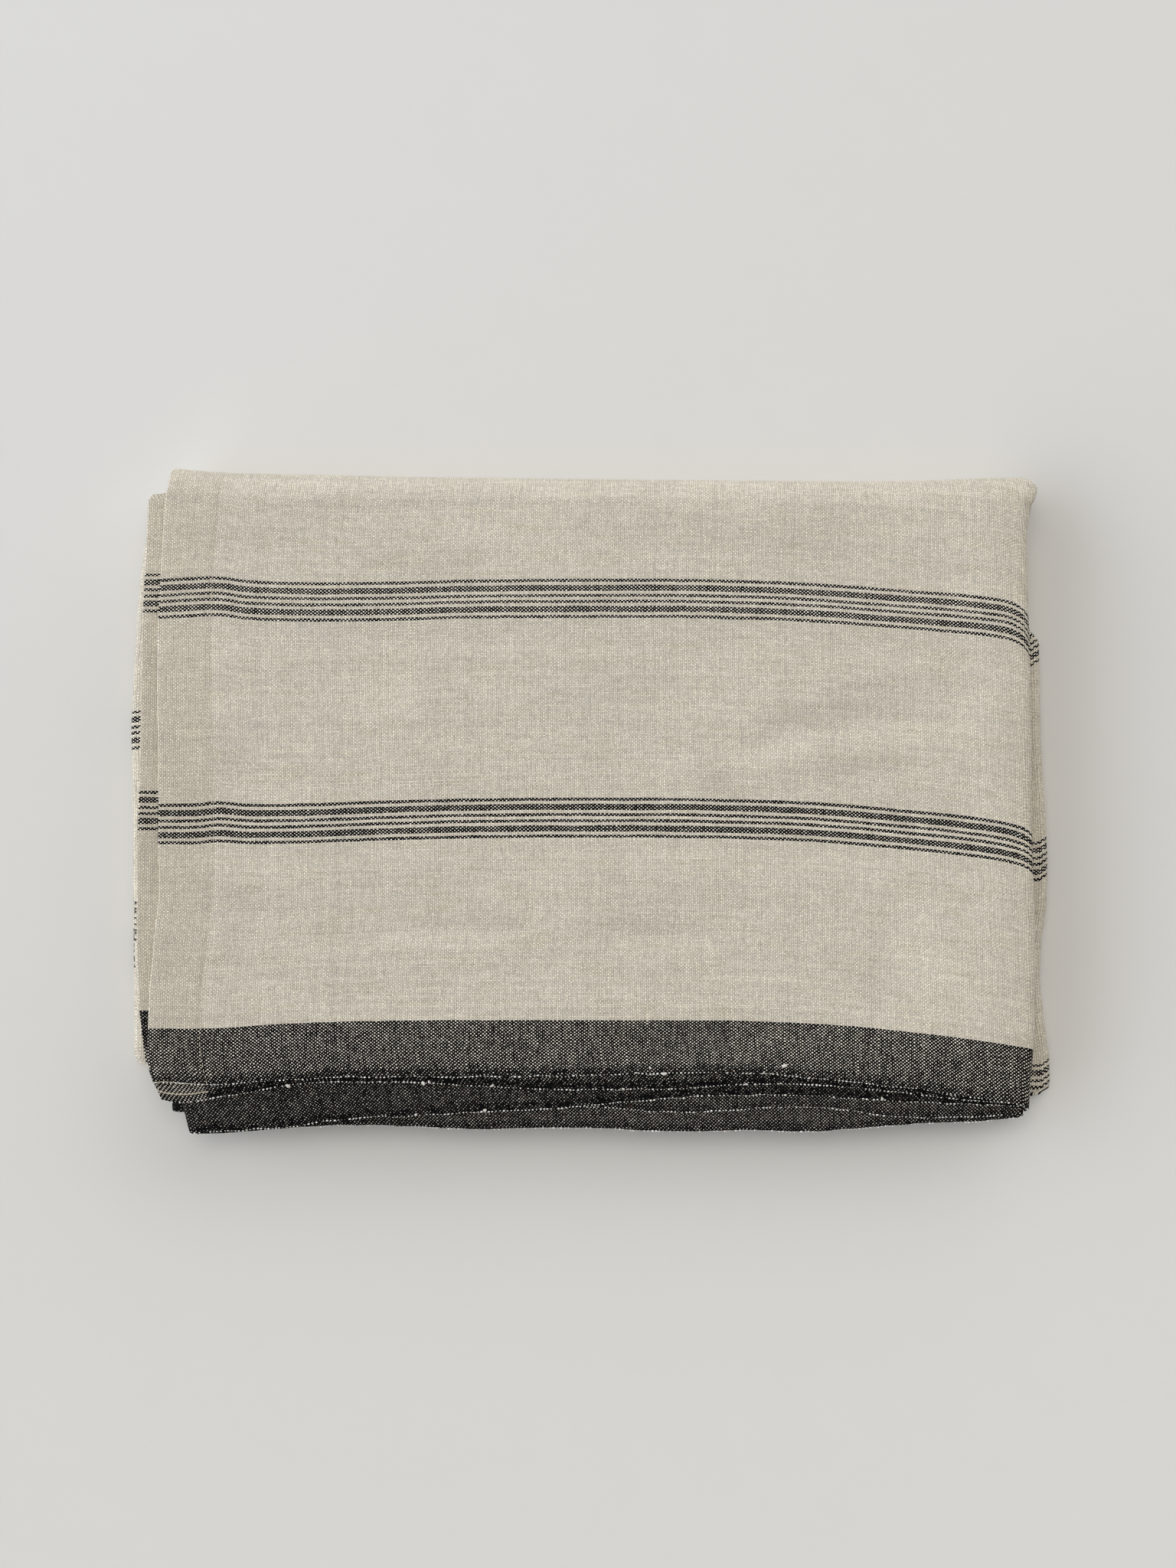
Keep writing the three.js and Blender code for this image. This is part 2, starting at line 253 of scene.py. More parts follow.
# Knots of thick yarn on the front layers, each with its X, Y and length. A layer is named by its panel
# and by its half of the cloth: 0 is the outer half and 1 the inner.
KNOTS = {
    (0, 0): [(112.1, -161.7, 3.3), (43.6, -166.2, 2.8), (35.3, -162.4, 1.6), (100.3, -165.6, 1.5),
             (126, -168.2, 1.3), (-8.3, -166.8, 1.5), (2.6, -166.8, 1.2), (27.5, -166.2, 1.4),
             (190, -150, 1.1), (-150, -150, 1.0), (255.6, 102.6, 1.2), (256.4, 65.6, 1.1)],
    (0, 1): [(-171.1, -173.0, 2.8), (-93.9, -171.8, 2.6), (-90.8, -171, 1.8), (-54.6, -172.9, 2.0),
             (20.1, -174.8, 1.6), (90.4, -172, 1.7), (110, -171.6, 1.2)],
    (1, 1): [(-58.9, -186.8, 2.2), (-98.2, -189.6, 1.7), (112.6, -178.2, 1.6), (168, -180.6, 1.8)],
}

# Colours of the yarns and of the floor, from 0 to 255 as on a display
COLORS = {
    "warp": (215, 206, 188),
    "warp_deep": (200, 187, 160),
    "weft": (247, 240, 225),
    "dark": (3, 3, 4),
    "rusty": (30, 17, 13),
    "weft_loop": (250, 248, 240),
    "sewing_thread": (205, 194, 172),
    "knot": (224, 219, 210),
    "floor": (229, 227, 222),
}

# Where the room is bright: direction, cosine of the angle at which it fades out, strength and colour
ROOM_LIGHTS = [
    {"towards": (-0.044, 0.133, 1.0), "edge": 0.869, "strength": 2.76, "color": (1.0, 0.957, 0.89)},
    {"towards": (-0.992, -0.112, -0.059), "edge": 0.304, "strength": 2.86, "color": (0.87, 0.92, 1.0)},
    {"towards": (0.513, 0.855, 0.072), "edge": 0.496, "strength": 1.78, "color": (0.94, 0.96, 1.0)},
]
ROOM_DIM = (0.087, 0.087, 0.087)


def mix(a, b, share):
    return a + (b - a) * share


def smooth(share):
    s = np.clip(share, 0.0, 1.0)
    return s * s * (3 - 2 * s)


def curve(pairs, x):
    """Smooth curve through (position, value) pairs, flat beyond both ends."""
    at, value = np.array(pairs, float).T
    slope = np.gradient(value, at)
    k = np.clip(np.searchsorted(at, x) - 1, 0, len(at) - 2)
    run = at[k + 1] - at[k]
    t = np.clip((x - at[k]) / run, 0, 1)
    start = value[k] * (1 + 2 * t) * (1 - t) ** 2 + slope[k] * run * t * (1 - t) ** 2
    end = value[k + 1] * t * t * (3 - 2 * t) + slope[k + 1] * run * t * t * (t - 1)
    return start + end


def unevenness(seed, x, y, z=0.0):
    """Smooth noise between about -1 and 1, one hump to a unit."""
    size = 32
    lattice = np.random.default_rng(seed).uniform(-1, 1, (size, size, size))
    x, y, z = np.broadcast_arrays(np.asarray(x, float), y, z)
    corner = [np.floor(c).astype(int) for c in (x, y, z)]
    share = [smooth(c - k) for c, k in zip((x, y, z), corner)]
    total = 0.0
    for steps in itertools.product((0, 1), repeat=3):
        weight = math.prod(s if step else 1 - s for s, step in zip(share, steps))
        total = total + weight * lattice[tuple((k + step) % size for k, step in zip(corner, steps))]
    return total


def outward_of(panel):
    """Panels run to the right and to the left by turns."""
    return np.where(panel % 2 == 0, 1.0, -1.0)


def panel_radius(panel):
    """Distance of a panel's middle from the roll's axis. Panel 0 is the outermost."""
    return INNER_GAP_RADIUS + HALF_PITCH + (PANELS - 1 - panel) * 2 * LAYER_PITCH


def panel_ends(panel, place, share):
    """X of the start and the end of each panel's flat run."""
    turn_run = TURN_REACH * (LAYER_PITCH + HALF_PITCH + CLOTH_THICK / 2)
    folds = []
    for index, (line, (inset, reach)) in enumerate(zip(CROSS_FOLDS, CORNER_ROUNDS)):
        outward = 1 if index % 2 == 0 else -1
        near_corner = np.clip(1 - (LOW_FRONT - place) / reach, 0, 1)
        rounding = inset * (1 - np.sqrt(1 - near_corner ** 2))
        folds.append(curve(line, place) - outward * (turn_run + rounding))
    first = mix(curve(FIRST_HEM_OUTER, place), curve(FIRST_HEM_INNER, place), share)
    last = mix(curve(LAST_HEM_OUTER, place), curve(LAST_HEM_INNER, place), share)
    return np.choose(panel, [first] + folds), np.choose(panel, folds + [last])


def edge_row(table, panel, turn, x):
    """Y that a table gives for a panel, or between that of two panels in the turn that joins them."""
    here = [curve(row, x) for row in table]
    after = here[1:] + here[-1:]
    return mix(np.choose(panel, here), np.choose(panel, after), turn / math.pi)


def along_cloth(panel, along, turn, share):
    """Distance along the flat cloth from its first hem."""
    outer_turn = outward_of(panel) * (0.5 - share) > 0
    turn_run = np.where(outer_turn, OUTER_TURN_RUN, INNER_TURN_RUN)
    turn_before = OUTER_TURN_RUN + INNER_TURN_RUN - turn_run
    start = np.where(panel == 0, 0.0, turn_before / 2)
    end = np.where(panel == PANELS - 1, PANEL_RUN, PANEL_RUN - turn_run / 2)
    return panel * PANEL_RUN + mix(start, end, along) + turn_run * turn / math.pi


def from_cloth_end(u):
    return np.minimum(u, CLOTH_LENGTH - u)


def stitch_line(place):
    """Distance of a hem's stitches from the cloth's end."""
    return STITCH_INSET + sum(drift["by"] * smooth((place - drift["from"]) / (drift["to"] - drift["from"]))
                              for drift in STITCH_DRIFTS)


def hem_share(u, place):
    """1 on the doubled cloth of a hem, 0 elsewhere."""
    return smooth((stitch_line(place) + HEM_STEP["beyond"] - from_cloth_end(u)) / HEM_STEP["run"])


def stitch_groove(u, place):
    away = (from_cloth_end(u) - stitch_line(place)) / STITCH_GROOVE["half"]
    return STITCH_GROOVE["depth"] * np.exp(-away ** 2)


def crease_height(x, y):
    """Height of the creases at a point of the top panel. Each fades out towards both its ends."""
    total = np.zeros_like(x)
    for height, half_width, points in TOP_CREASES:
        points = np.array(points, float)
        nearest = np.full(x.shape, 1e9)
        along = np.zeros_like(x)
        lengths = np.hypot(*np.diff(points, axis=0).T)
        done = 0.0
        for (ax, ay), (bx, by), length in zip(points[:-1], points[1:], lengths):
            t = np.clip(((x - ax) * (bx - ax) + (y - ay) * (by - ay)) / length ** 2, 0, 1)
            away = np.hypot(x - mix(ax, bx, t), y - mix(ay, by, t))
            closer = away < nearest
            nearest = np.where(closer, away, nearest)
            along = np.where(closer, (done + t * length) / lengths.sum(), along)
            done += length
        fade = np.sqrt(np.clip(np.sin(math.pi * np.clip(along, 0.04, 0.96)), 0, 1))
        total += height * fade * np.exp(-(nearest / half_width) ** 2)
    return total


def surface_height(x, y, z):
    """How far the laid cloth rises or sinks from its even layers."""
    lift = np.clip(z / TOP_Z, 0, 1.1) ** 2
    humps = sum(hump["height"] * unevenness(hump["seed"], x / hump["long"], y / hump["deep"])
                for hump in TOP_HUMPS)
    layer = LAYER_HUMPS
    layers = unevenness(layer["seed"], x / layer["long"], y / layer["deep"], z / layer["high"])
    layers = layer["height"] * layers * smooth(z / 5)
    before_roll = smooth((ROLL_AXIS_Y + 16 - y) / 14)
    fold_drop = FOLD_DROP["drop"] * smooth((x - FOLD_DROP["from_x"]) / FOLD_DROP["run"]) ** 1.5
    return ((humps + crease_height(x, y)) * before_roll - fold_drop) * lift + layers


def height_scale(x, y):
    to_back = smooth((y - BACK_RISE["from_y"]) / BACK_RISE["run"])
    to_side = smooth(1 - (SIDE_PUFF["edge_x"] - np.abs(x)) / SIDE_PUFF["reach"])
    return 1 + BACK_RISE["share"] * to_back + SIDE_PUFF["share"] * to_side


def front_droop(y, z):
    drop = sum(part["drop"] * smooth((part["from_y"] - y) / part["run"]) for part in FRONT_DROOPS)
    return drop * np.minimum(1, z / ROLL_AXIS_Z)


def weave_row(panel, x, y, edge_y, inner):
    """Distance across the flat cloth from the selvedge, on the upper half of the stack."""
    rows_y = np.stack([edge_y] + [curve(row, x) for _, row in TOP_ROWS])
    rows_v = [0.0] + [v for v, _ in TOP_ROWS]
    top = rows_v[-1] + (y - rows_y[-1])
    for k in range(len(rows_v) - 2, -1, -1):
        here = rows_v[k] + (rows_v[k + 1] - rows_v[k]) * (y - rows_y[k]) / (rows_y[k + 1] - rows_y[k])
        top = np.where(y < rows_y[k + 1], here, top)
    strip = np.interp(y, *np.array(STRIP_ROWS).T)
    in_strip = smooth((y - STRIP_FRONT_Y) / 6) * smooth((STRIP_RIGHT_X - x) / 4)
    plain = mix(y - edge_y, strip, np.where((panel == 0) & inner, in_strip, 0.0))
    return np.where((panel == 0) & ~inner, top, plain)


def across_cloth(panel, u, x, lines_y, place, angle, radius):
    """Distance across the flat cloth from the outer half's selvedge, in the woven pattern."""
    top_y, edge_y, roll_y, fold_y = lines_y
    inner = angle > math.pi / 2
    upper = weave_row(panel, x, top_y, edge_y, inner)
    at_roll = weave_row(panel, x, roll_y, edge_y, inner)
    round_roll = math.pi * radius
    slant = MIDDLE_SLANT * np.clip(x - MIDDLE_SLANT_FROM, -4, 8) * (x > MIDDLE_SLANT_FROM - 4)
    shift = curve(MIDDLE_SHIFT, u) + slant
    fold_v = CLOTH_WIDTH / 2 + np.where(inner, -shift, shift)
    fitted_low = fold_v - (roll_y - fold_y) - round_roll
    start_v = mix(at_roll, fitted_low, smooth((u - PANEL_RUN) / PANEL_RUN))
    slack = np.clip((top_y - edge_y - EDGE_ROWS) / (roll_y - edge_y - EDGE_ROWS), 0, 1)
    upper = upper + (start_v - at_roll) * slack
    rolled = np.clip((place - BACK) / (LOW_BACK - BACK), 0, 1)
    low_share = np.clip((place - LOW_BACK) / (LOW_FRONT - LOW_BACK), 0, 1)
    low = mix(start_v + round_roll, fold_v, low_share)
    v = np.where(place <= BACK, upper, np.where(place < LOW_BACK, start_v + round_roll * rolled, low))
    return np.where(inner, CLOTH_WIDTH - v, v)


def rough_depth(place):
    """About how far back a place across the cloth would lie without the roll."""
    return np.interp(place, [FRONT, BACK, LOW_BACK, LOW_FRONT], [-170, 167, 187, 520])


def across_stack(panel, along, turn, place, angle, half_thick):
    """X and distance from the roll's axis, on a panel or on the turn that follows it."""
    start, end = panel_ends(panel, place, angle / math.pi)
    outward = outward_of(panel)
    from_middle = (HALF_PITCH + half_thick) * np.cos(angle)
    turn_radius = LAYER_PITCH + outward * from_middle
    x = mix(start, end, along) + outward * TURN_REACH * turn_radius * np.sin(turn)
    middle = panel_radius(panel)
    radius = np.where(turn == 0, middle + outward * from_middle,
                      middle - LAYER_PITCH + turn_radius * np.cos(turn))
    to_side = np.minimum(np.abs(x - start), np.abs(x - end))
    wave = 0.5 * unevenness(21, rough_depth(place) / 17, radius / 3.1)
    return x + wave * smooth(1 - to_side / 12), radius


def lines_across(panel, turn, place, share, x):
    """Y of the upper half's cloth, and of its front edge, the roll and the middle fold at the same X."""
    edge_y = mix(edge_row(OUTER_EDGE, panel, turn, x), edge_row(INNER_EDGE, panel, turn, x), share)
    roll_y = ROLL_AXIS_Y + curve(BACK_SHIFT, x)
    fold_y = edge_row(MIDDLE_FOLD, panel, turn, x)
    layer = (panel + turn / math.pi) * 2 + share
    waves = sum(wave["reach"] * unevenness(wave["seed"], x / wave["long"], layer * wave["layer"])
                for wave in EDGE_WAVES)
    top_y = mix(edge_y, roll_y, place / BACK)
    top_y = top_y + waves * smooth(1 - (top_y - edge_y) / 14)
    return top_y, edge_y, roll_y, fold_y


def along_depth(lines_y, place, angle, radius, half_thick):
    """Y and Z along the upper half, round the roll and along the lower half."""
    top_y, _, roll_y, fold_y = lines_y
    past_fold = (HALF_PITCH + half_thick) * np.sin(angle)
    rolled = np.clip((place - BACK) / (LOW_BACK - BACK), 0, 1) * math.pi
    low_share = (place - LOW_BACK) / (LOW_FRONT - LOW_BACK)
    low_y = mix(roll_y, fold_y, low_share) - past_fold
    past_back = np.where(place < LOW_BACK, roll_y + radius * np.sin(rolled), low_y)
    y = np.where(place <= BACK, top_y, past_back)
    return y, ROLL_AXIS_Z + radius * np.cos(rolled)


def sheet_places(panel, along, turn, place, angle, side):
    """Points of the cloth, with their place on the flat cloth. side is 1 on the face that looks outwards."""
    share = angle / math.pi
    u = along_cloth(panel, along, turn, share)
    hem_extra = (HEM_THICK - CLOTH_THICK) / 2 * hem_share(u, place)
    half_thick = (CLOTH_THICK / 2 + hem_extra - stitch_groove(u, place)) * side
    x, radius = across_stack(panel, along, turn, place, angle, half_thick)
    lines_y = lines_across(panel, turn, place, share, x)
    y, z = along_depth(lines_y, place, angle, radius, half_thick)
    z = z * height_scale(x, y) - front_droop(y, z)
    z = z + surface_height(x, y, z)
    v = across_cloth(panel, u, x, lines_y, place, angle, radius)
    # The weft runs straight where the first cross fold does not, so the fold takes in more or less cloth
    near_fold = np.where(panel == 0, along, np.where(panel == 1, 1 - along, 0.0))
    u = u + (curve(CROSS_FOLDS[0], place) - FIRST_FOLD_X) * near_fold
    return np.stack([x, y, np.maximum(z, 0)], -1), u, v


def length_stations():
    """Panel, share of its flat run and angle of its turn, from hem to hem."""
    first = np.concatenate([HEM_STATIONS, np.linspace(50, PANEL_RUN, 88)])
    last = np.concatenate([HEM_STATIONS[::2], np.linspace(60, PANEL_RUN, 22)])
    steps = [first / PANEL_RUN]
    steps += [np.linspace(0, 1, count) for count in PANEL_STATIONS]
    steps.append(1 - last[::-1] / PANEL_RUN)
    stations = []
    for panel, shares in enumerate(steps):
        stations += [(panel, share, 0.0) for share in shares]
        if panel < PANELS - 1:
            stations += [(panel, 1.0, math.pi * k / TURN_STEPS) for k in range(1, TURN_STEPS)]
    return np.array(stations)


def width_stations():
    """Place across the cloth and angle round the middle fold, from selvedge to selvedge."""
    fine = np.concatenate([EDGE_STATIONS, np.linspace(33, UPPER_RUN, 50)]) / UPPER_RUN * BACK
    coarse = np.array(HIDDEN_STATIONS) / UPPER_RUN * BACK
    roll = np.append(ROLL_PLACES, np.linspace(BACK, LOW_BACK, ROLL_STEPS + 1)[1:-1])
    outer = [(place, 0.0) for place in (*fine, *roll, *LOW_PLACES)]
    fold = [(LOW_FRONT, math.pi * k / TURN_STEPS) for k in range(1, TURN_STEPS)]
    inner = [(place, math.pi) for place in (*LOW_PLACES[::-1], *roll[::-1], *coarse[::-1])]
    return np.array(outer + fold + inner)


def add_piece(mesh, material):
    """A piece with its mesh's name."""
    mesh.polygons.foreach_set("use_smooth", [True] * len(mesh.polygons))
    mesh.update()
    mesh.materials.append(material)
    piece = bpy.data.objects.new(mesh.name, mesh)
    bpy.context.scene.collection.objects.link(piece)
    return piece


def new_mesh(name, points, faces, attributes=()):
    """Mesh of points in the tables' millimetres."""
    mesh = bpy.data.meshes.new(name)
    mesh.from_pydata((np.asarray(points) + TABLES_ORIGIN) * MM, [], faces)
    for key, values in attributes:
        mesh.attributes.new(key, "FLOAT", "POINT").data.foreach_set("value", np.asarray(values, np.float32))
    return mesh


def edge_taper(lengths, widths):
    """Share of the full thickness, less at the open edges so that they are round."""
    def rounded(count):
        taper = np.ones(count)
        taper[[0, -1]] = 0.35
        taper[[1, -2]] = 0.8
        return taper
    return np.minimum(rounded(len(lengths))[:, None], rounded(len(widths))[None, :])


def sheet_faces(rows, columns):
    """Quads of the outward and the inward face of the sheet and of the strips along its four edges."""
    index = np.arange(rows * columns).reshape(rows, columns)
    other = index + rows * columns

    def quads(a, b, c, d):
        return np.stack([a, b, c, d], -1).reshape(-1, 4)

    return np.concatenate([
        quads(index[:-1, :-1], index[1:, :-1], index[1:, 1:], index[:-1, 1:]),
        quads(other[:-1, :-1], other[:-1, 1:], other[1:, 1:], other[1:, :-1]),
        quads(index[:-1, 0], other[:-1, 0], other[1:, 0], index[1:, 0]),
        quads(index[:-1, -1], index[1:, -1], other[1:, -1], other[:-1, -1]),
        quads(index[0, :-1], index[0, 1:], other[0, 1:], other[0, :-1]),
        quads(index[-1, :-1], other[-1, :-1], other[-1, 1:], index[-1, 1:]),
    ]).tolist()


def make_sheet(material):
    """Closed mesh of the folded cloth, with each point's place on the flat cloth."""
    lengths, widths = length_stations(), width_stations()
    grid = [a[:, None] for a in lengths.T] + [a[None, :] for a in widths.T]
    panel, along, turn, place, angle = np.broadcast_arrays(*grid)
    thick_share = edge_taper(lengths, widths)
    faces = [sheet_places(panel.astype(int), along, turn, place, angle, side * thick_share)
             for side in (1, -1)]
    points, flat_u, flat_v = (np.concatenate([face[k] for face in faces]) for k in range(3))
    points = points.reshape(-1, 3)
    # Creases show on the top of the stack only; the material paints shade in their troughs and a highlight
    # on their ridges from their height
    crease_for_shade = crease_height(*points[:, :2].T) * smooth((points[:, 2] - TOP_Z + 6) / 4)
    attributes = [("flat_u", flat_u.ravel()), ("flat_v", flat_v.ravel()), ("crease_for_shade", crease_for_shade)]
    mesh = new_mesh("cloth_sheet", points, sheet_faces(*panel.shape), attributes)
    return add_piece(mesh, material)


def ball_mesh(segments=6):
    """Points and faces of a small ball made of two rings and two poles."""
    turns = [2 * math.pi * k / segments for k in range(segments)]
    points = [(0, 0, -1)]
    for height in (-0.5, 0.5):
        ring = math.sqrt(1 - height * height)
        points += [(ring * math.cos(t), ring * math.sin(t), height) for t in turns]
    points.append((0, 0, 1))
    faces = []
    for k in range(segments):
        after = (k + 1) % segments
        faces.append((0, 1 + after, 1 + k))
        faces.append((1 + k, 1 + after, 1 + segments + after, 1 + segments + k))
        faces.append((1 + segments + k, 1 + segments + after, 2 * segments + 1))
    return np.array(points, float), faces


def make_balls(name, balls, material):
    """One piece of many small balls: pairs of their places and of their three stretched axes."""
    places, axes = (np.concatenate(part) for part in zip(*balls))
    unit, unit_faces = ball_mesh()
    points = places[:, None, :] + np.einsum("kc,ncd->nkd", unit, axes)
    starts = range(0, len(unit) * len(places), len(unit))
    faces = [tuple(start + k for k in face) for start in starts for face in unit_faces]
    return add_piece(new_mesh(name, points.reshape(-1, 3), faces), material)


def unit_rows(vectors):
    return vectors / np.linalg.norm(vectors, axis=1)[:, None]


def square_to(vectors, axis):
    """The vectors, turned square to a unit axis."""
    return unit_rows(vectors - (vectors * axis).sum(1)[:, None] * axis)


def at_length(u, share):
    """Panel, share of its flat run and angle of its turn at a distance along the flat cloth."""
    panel, along, turn = length_stations().T
    known = along_cloth(panel.astype(int), along, turn, np.full(len(panel), float(share)))
    k = np.clip(np.searchsorted(known, u) - 1, 0, len(known) - 2)
    t = (u - known[k]) / np.maximum(known[k + 1] - known[k], 1e-9)
    same = panel[k + 1] == panel[k]
    after_along = np.where(same, along[k + 1], 1.0)
    after_turn = np.where(same, turn[k + 1], math.pi)
    return panel[k].astype(int), mix(along[k], after_along, t), mix(turn[k], after_turn, t)


def cloth_points(u, place, share, side):
    """Points of one half of the cloth. side is 1 on its outward face, 0 in its middle, -1 on the other."""
    return sheet_places(*at_length(u, share), place, np.full(len(u), math.pi * share), side)[0]


def selvedge_balls(rng, share):
    """The weft's turns round the outermost warp yarn along one selvedge. One in ten doesn't show."""
    u = np.arange(1.5, CLOTH_LENGTH - 1, 2 * WEFT_PITCH)
    u = u + rng.uniform(-0.3, 0.3, len(u))
    points = cloth_points(u, np.zeros(len(u)), share, 0)
    out = unit_rows(points - cloth_points(u, np.full(len(u), 0.004), share, 0))
    run = square_to(np.gradient(points, axis=0), out)
    up = np.cross(run, out)
    size = rng.uniform(0.55, 1.3, len(u)) * (1 + 0.35 * unevenness(6 + share, u / 21, 0.5))
    long, thick = (0.58 * size)[:, None], (0.42 * size)[:, None]
    shown = rng.uniform(0, 1, len(u)) > 0.1
    places = points + out * 0.12 + up * (0.22 * np.sign(up[:, 2]))[:, None]
    return places[shown], np.stack([run * long, out * thick, up * thick], 1)[shown]


def make_selvedge_loops(material):
    rng = np.random.default_rng(5)
    return make_balls("selvedge_loops", [selvedge_balls(rng, share) for share in (0, 1)], material)


def face_frames(u, place, share):
    """Points on the outward face, with the directions along the cloth, across it and away from it."""
    here = cloth_points(u, place, share, 1)
    wide = unit_rows(cloth_points(u, place + PLACE_STEP, share, 1) - here)
    long = square_to(cloth_points(u + LENGTH_STEP, place, share, 1) - here, wide)
    away = np.cross(wide, long)
    from_inside = here - cloth_points(u, place, share, -1)
    return here, long, wide, away * np.sign((from_inside * away).sum(1))[:, None]


def hem_row(rng, share, last):
    """Row of stitches along one hem, on one half of the cloth."""
    run = np.cumsum([0, UPPER_RUN, ROLL_RUN, LOWER_RUN])
    place = np.interp(np.arange(1.2, run[-1], STITCH_PITCH), run, [FRONT, BACK, LOW_BACK, LOW_FRONT])
    u = stitch_line(place) + rng.uniform(-0.12, 0.12, len(place))
    here, long, wide, away = face_frames(CLOTH_LENGTH - u if last else u, place, share)
    half = 1.12 * rng.uniform(0.88, 1.1, len(place))
    return here + away * 0.02, np.stack([wide * half[:, None], long * 0.24, away * 0.2], 1)


def hem_end(rng, share, last):
    """Thread that closes one hem's end at the selvedge."""
    u = np.arange(1.0, 29.5, 0.9)
    u = CLOTH_LENGTH - u if last else u
    inset = HEM_LIP if share and not last else 0.0
    place = np.full(len(u), 0.003 + inset / UPPER_RUN * BACK)
    _, long, wide, away = face_frames(u, place, share)
    centre = cloth_points(u, place, share, -1 if inset else 0)
    drop = 0.2 * np.sin(u * 0.45) + rng.uniform(-0.06, 0.06, len(u))
    size = rng.uniform(0.9, 1.1, len(u))[:, None] * (1.3 if inset else 1.0)
    places = centre - wide * (0.35 + drop)[:, None] + (0, 0, 0.35)
    return places, np.stack([long * 0.66, wide * 0.3 * size, away * 0.3], 1)


def make_hem_stitches(material):
    rng = np.random.default_rng(8)
    balls = [sewn(rng, share, last) for share in (0, 1) for sewn in (hem_row, hem_end)
             for last in (False, True)]
    return make_balls("hem_stitches", balls, material)


def knot_centre(panel, share, x, y):
    """Point on the upward face of a layer, at an X and Y of the upper half."""
    x = np.array([float(x)])
    edge_y = curve((INNER_EDGE if share else OUTER_EDGE)[panel], x)
    place = (y - edge_y) / (ROLL_AXIS_Y + curve(BACK_SHIFT, x) - edge_y) * BACK
    panel, angle = np.array([panel]), np.array([math.pi * share])
    start, end = panel_ends(panel, place, float(share))
    side = outward_of(panel) * np.cos(angle)
    return sheet_places(panel, (x - start) / (end - start), np.zeros(1), place, angle, side)[0][0]


def lump_point(point, size, turn, lumps):
    """A unit ball's point, pressed flat, turned round and pushed in and out to a rough lump."""
    bulge = 1 + 0.28 * float(unevenness(31, *(point * 1.7 + lumps)))
    x, y, z = point * bulge * (size, size * 0.62, size * 0.4)
    c, s = math.cos(turn), math.sin(turn)
    return np.array((x * c - y * s, x * s + y * c, z + 0.1))


def make_knots(material):
    """Knots and thick lumps of yarn, each a small rough ball of its own shape."""
    bm = bmesh.new()
    rng = np.random.default_rng(3)
    for x, y, size, layer in [(*knot, layer) for layer, knots in KNOTS.items() for knot in knots]:
        centre = knot_centre(*layer, x, y)
        ball = bmesh.ops.create_icosphere(bm, subdivisions=3, radius=1.0)["verts"]
        turn = rng.uniform(0, math.pi)
        lumps = rng.uniform(0, 9, 3)
        for vert in ball:
            point = lump_point(np.array(vert.co), size / 2, turn, lumps)
            vert.co = (centre + point + TABLES_ORIGIN) * MM
    mesh = bpy.data.meshes.new("yarn_knots")
    bm.to_mesh(mesh)
    bm.free()
    return add_piece(mesh, material)


def linear(name):
    """Scene colour of one of the display colours."""
    def one(c):
        s = c / 255
        return s / 12.92 if s <= 0.04045 else ((s + 0.055) / 1.055) ** 2.4
    return (*map(one, COLORS[name]), 1.0)


class Value:
    """A node's output. Plain arithmetic with it adds the nodes that work it out."""

    def __init__(self, nodes, socket):
        self.nodes = nodes
        self.socket = socket

    def __add__(self, other):
        return self.nodes.math("ADD", self, other)

    def __sub__(self, other):
        return self.nodes.math("SUBTRACT", self, other)

    def __rsub__(self, other):
        return self.nodes.math("SUBTRACT", other, self)

    def __mul__(self, other):
        return self.nodes.math("MULTIPLY", self, other)

    def __abs__(self):
        return self.nodes.math("ABSOLUTE", self)

    __radd__ = __add__
    __rmul__ = __mul__


class Nodes:
    """The nodes of one material, or of the room's light."""

    def __init__(self, owner):
        owner.use_nodes = True
        self.owner = owner
        self.tree = owner.node_tree

    def put(self, socket, value):
        if isinstance(value, Value):
            self.tree.links.new(value.socket, socket)
        else:
            socket.default_value = value

    def make(self, kind, inputs, output=0, **settings):
        """Output of a new node, with values for its inputs by name or number."""
        node = self.tree.nodes.new("ShaderNode" + kind)
        for key, value in settings.items():
            setattr(node, key, value)
        for key, value in inputs.items():
            self.put(node.inputs[key], value)
        return Value(self, node.outputs[output])

    def math(self, operation, *values):
        return self.make("Math", dict(enumerate(values)), operation=operation)

    def between(self, share, a, b):
        return a + share * (b - a)

    def ramp(self, value, low, high, out_low=0.0, out_high=1.0):
        """A smooth step from one level to another."""
        inputs = {"Value": value, "From Min": low, "From Max": high, "To Min": out_low, "To Max": out_high}
        return self.make("MapRange", inputs, interpolation_type="SMOOTHSTEP")

    def vector(self, x, y, z=0.0):
        return self.make("CombineXYZ", {0: x, 1: y, 2: z})

    def noise(self, vector, scale=1.0, detail=1.0):
        return self.make("TexNoise", {"Vector": vector, "Scale": scale, "Detail": detail}, "Fac")

    def random(self, value):
        return self.make("TexWhiteNoise", {"W": value}, "Value", noise_dimensions="1D")

    def blend(self, share, a, b):
        """Mix of two colours, whose inputs are 6 and 7."""
        return self.make("Mix", {"Factor": share, 6: a, 7: b}, 2, data_type="RGBA")

    def scaled(self, color, share):
        return self.make("VectorMath", {0: color, "Scale": share}, operation="SCALE")

    def attribute(self, name):
        return self.make("Attribute", {}, "Fac", attribute_name=name)

    def position(self):
        return self.make("NewGeometry", {}, "Position")

    def bump(self, height, distance, strength):
        return self.make("Bump", {"Height": height, "Distance": distance, "Strength": strength})

    def finish(self, color, roughness, specular, normal=None):
        shader = self.tree.nodes["Principled BSDF"]
        self.put(shader.inputs["Base Color"], color)
        self.put(shader.inputs["Roughness"], roughness)
        shader.inputs["Specular IOR Level"].default_value = specular
        if normal is not None:
            self.put(shader.inputs["Normal"], normal)
        return self.owner


